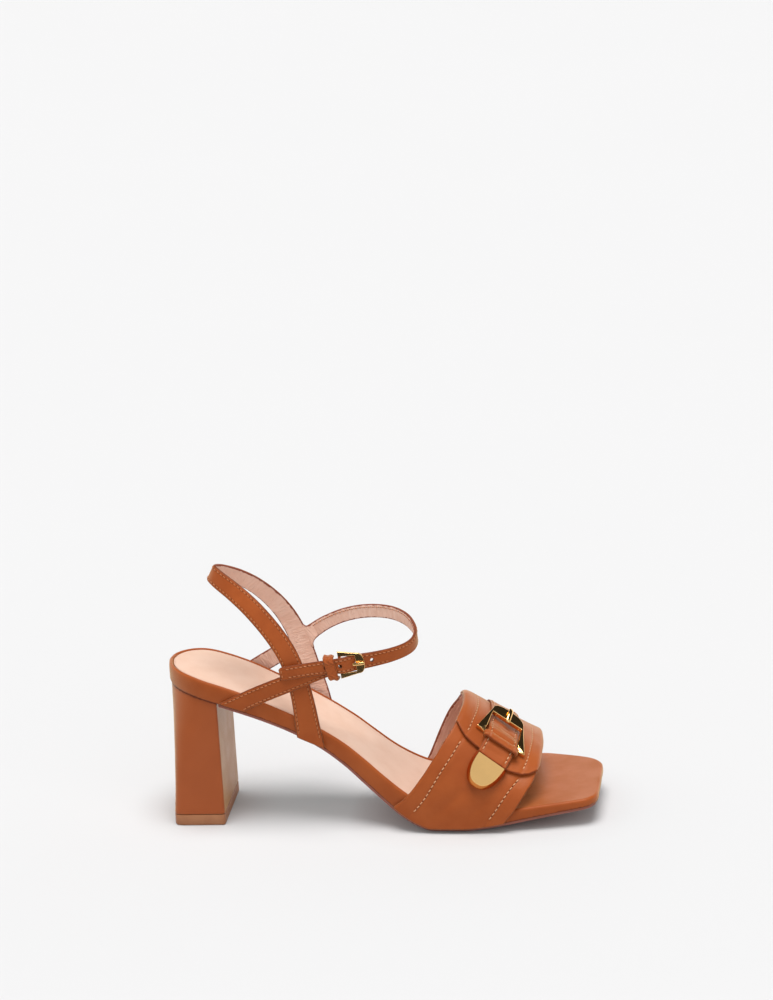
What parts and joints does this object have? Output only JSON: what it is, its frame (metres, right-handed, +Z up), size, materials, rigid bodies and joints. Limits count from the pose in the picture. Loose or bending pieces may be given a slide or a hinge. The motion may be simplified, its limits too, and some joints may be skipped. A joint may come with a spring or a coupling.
{
  "type": "heeled sandal",
  "caption": "Block heel sandal for the right foot with a square toe, a buckled vamp band over the forefoot, a slingback and a crossed ankle strap with a small buckle.",
  "frame": {"origin": "middle of the bottom of the bounding box, on the floor that heel tip and outsole stand on", "axes": "+X towards the toe, +Y towards the inner side of the foot, +Z up"},
  "size_m": [0.2262, 0.0896, 0.1374],
  "materials": {
    "tan_leather": "smooth tan leather, half matt with a soft sheen",
    "heel_cover": "smooth tan leather stretched over the heel block",
    "nude_lining": "matt nude lining leather",
    "outsole": "matt mauve pink sole rubber",
    "heel_tip": "matt tan brown heel rubber",
    "gold": "polished gold-coloured metal"
  },
  "bodies": {
    "root": {"outsole": "outsole", "insole_board": "tan_leather", "insole_sock": "nude_lining", "heel_block": "heel_cover", "heel_tip": "heel_tip", "vamp_band": "tan_leather", "vamp_overlay": "tan_leather", "vamp_strap": "tan_leather", "vamp_keeper": "tan_leather", "vamp_buckle_frame": "gold", "vamp_buckle_prong": "gold", "vamp_strap_tip": "gold", "ankle_straps": "tan_leather", "ankle_keeper": "tan_leather", "ankle_buckle_frame": "gold", "ankle_buckle_prong": "gold"}
  },
  "joints": []
}
